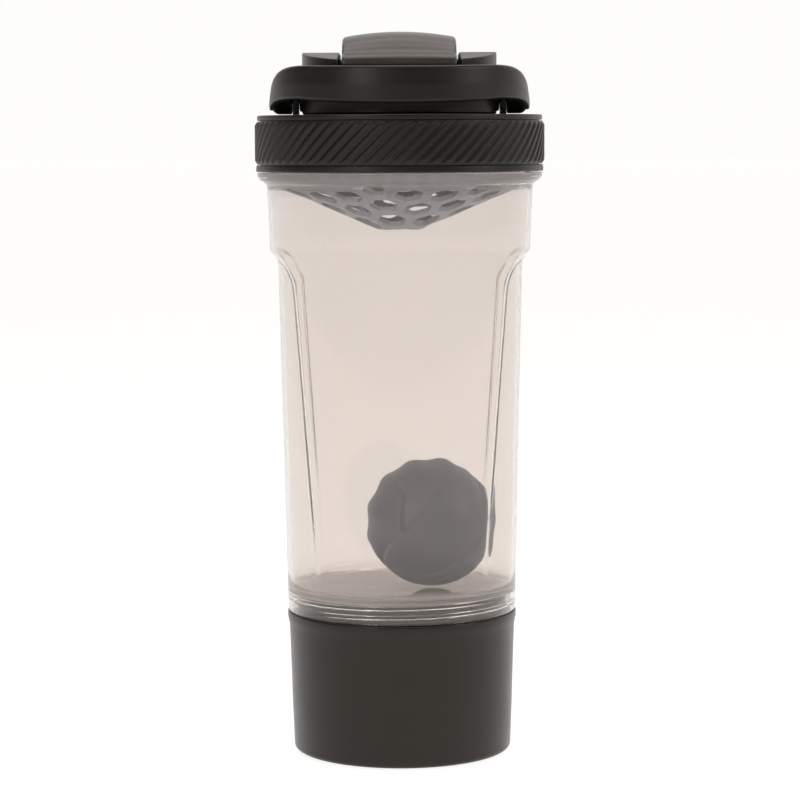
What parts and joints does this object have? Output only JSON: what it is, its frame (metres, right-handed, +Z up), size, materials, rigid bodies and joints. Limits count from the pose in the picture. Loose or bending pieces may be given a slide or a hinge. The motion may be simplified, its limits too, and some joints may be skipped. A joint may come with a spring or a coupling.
{
  "type": "protein shaker bottle",
  "caption": "Round shaker bottle with a screw-on powder cup below, a strainer, a loose mixing ball, and a screw lid with a flip spout cap and a carry handle.",
  "frame": {"origin": "centre of the powder cup's underside, on the surface that the bottle stands on", "axes": "+Z up along the bottle's axis; -Y is the front, where the flap's lip and the handle's bail are; +X is the right side seen from the front"},
  "size_m": [0.0962, 0.0962, 0.2398],
  "materials": {
    "cup_black": "satin moulded polypropylene",
    "clear_bottle": "clear warm-tinted copolyester plastic",
    "strainer_grey": "moulded polypropylene",
    "lid_black": "fine satin texture",
    "grip_rubber": "ribbed soft-touch elastomer",
    "flap_grey": "satin",
    "seal_silicone": "silicone",
    "ball_grey": "satin moulded plastic"
  },
  "bodies": {
    "cup": {"storage_cup": "cup_black"},
    "cup_seal_rise": {"cup_seal": "seal_silicone"},
    "bottle": {"bottle_body": "clear_bottle", "strainer": "strainer_grey"},
    "neck_seal_rise": {"neck_seal": "seal_silicone"},
    "lid": {"lid_collar": "lid_black", "grip_band": "grip_rubber", "spout_turret": "lid_black", "spout_tube": "lid_black", "cap_hinge_pin": "lid_black", "handle_pin_left": "lid_black", "handle_pin_right": "lid_black"},
    "flap": {"spout_cap": "flap_grey", "cap_plug": "seal_silicone"},
    "handle": {"carry_handle": "lid_black"},
    "ball": {"agitator_upper": "ball_grey", "agitator_lower": "ball_grey"}
  },
  "joints": [
    {"name": "bottle_rise", "type": "slide", "parent": "cup", "child": "cup_seal_rise", "axis": [0, 0, 1], "range_m": [0, 0.00601]},
    {"name": "bottle_turn", "type": "hinge", "parent": "cup_seal_rise", "child": "bottle", "pos_m": [0, 0, 0.0505], "axis": [0, 0, 1], "range_deg": [0, 720]},
    {"name": "lid_rise", "type": "slide", "parent": "bottle", "child": "neck_seal_rise", "axis": [0, 0, 1], "range_m": [0, 0.00901]},
    {"name": "lid_turn", "type": "hinge", "parent": "neck_seal_rise", "child": "lid", "pos_m": [0, 0, 0.2005], "axis": [0, 0, 1], "range_deg": [0, 720]},
    {"name": "flap_open", "type": "hinge", "parent": "lid", "child": "flap", "pos_m": [0, 0.017, 0.23], "axis": [-1, 0, 0], "range_deg": [0, 95]},
    {"name": "handle_swing", "type": "hinge", "parent": "lid", "child": "handle", "pos_m": [0, 0, 0.2189], "axis": [-1, 0, 0], "range_deg": [0, 145]},
    {"name": "ball_shake", "type": "slide", "parent": "bottle", "child": "ball", "axis": [0, 0, 1], "range_m": [0, 0.072]}
  ],
  "couplings": [
    {"joint": "bottle_rise", "follows": "bottle_turn", "m_per_rad": 0.00047746},
    {"joint": "lid_rise", "follows": "lid_turn", "m_per_rad": 0.0007162}
  ]
}
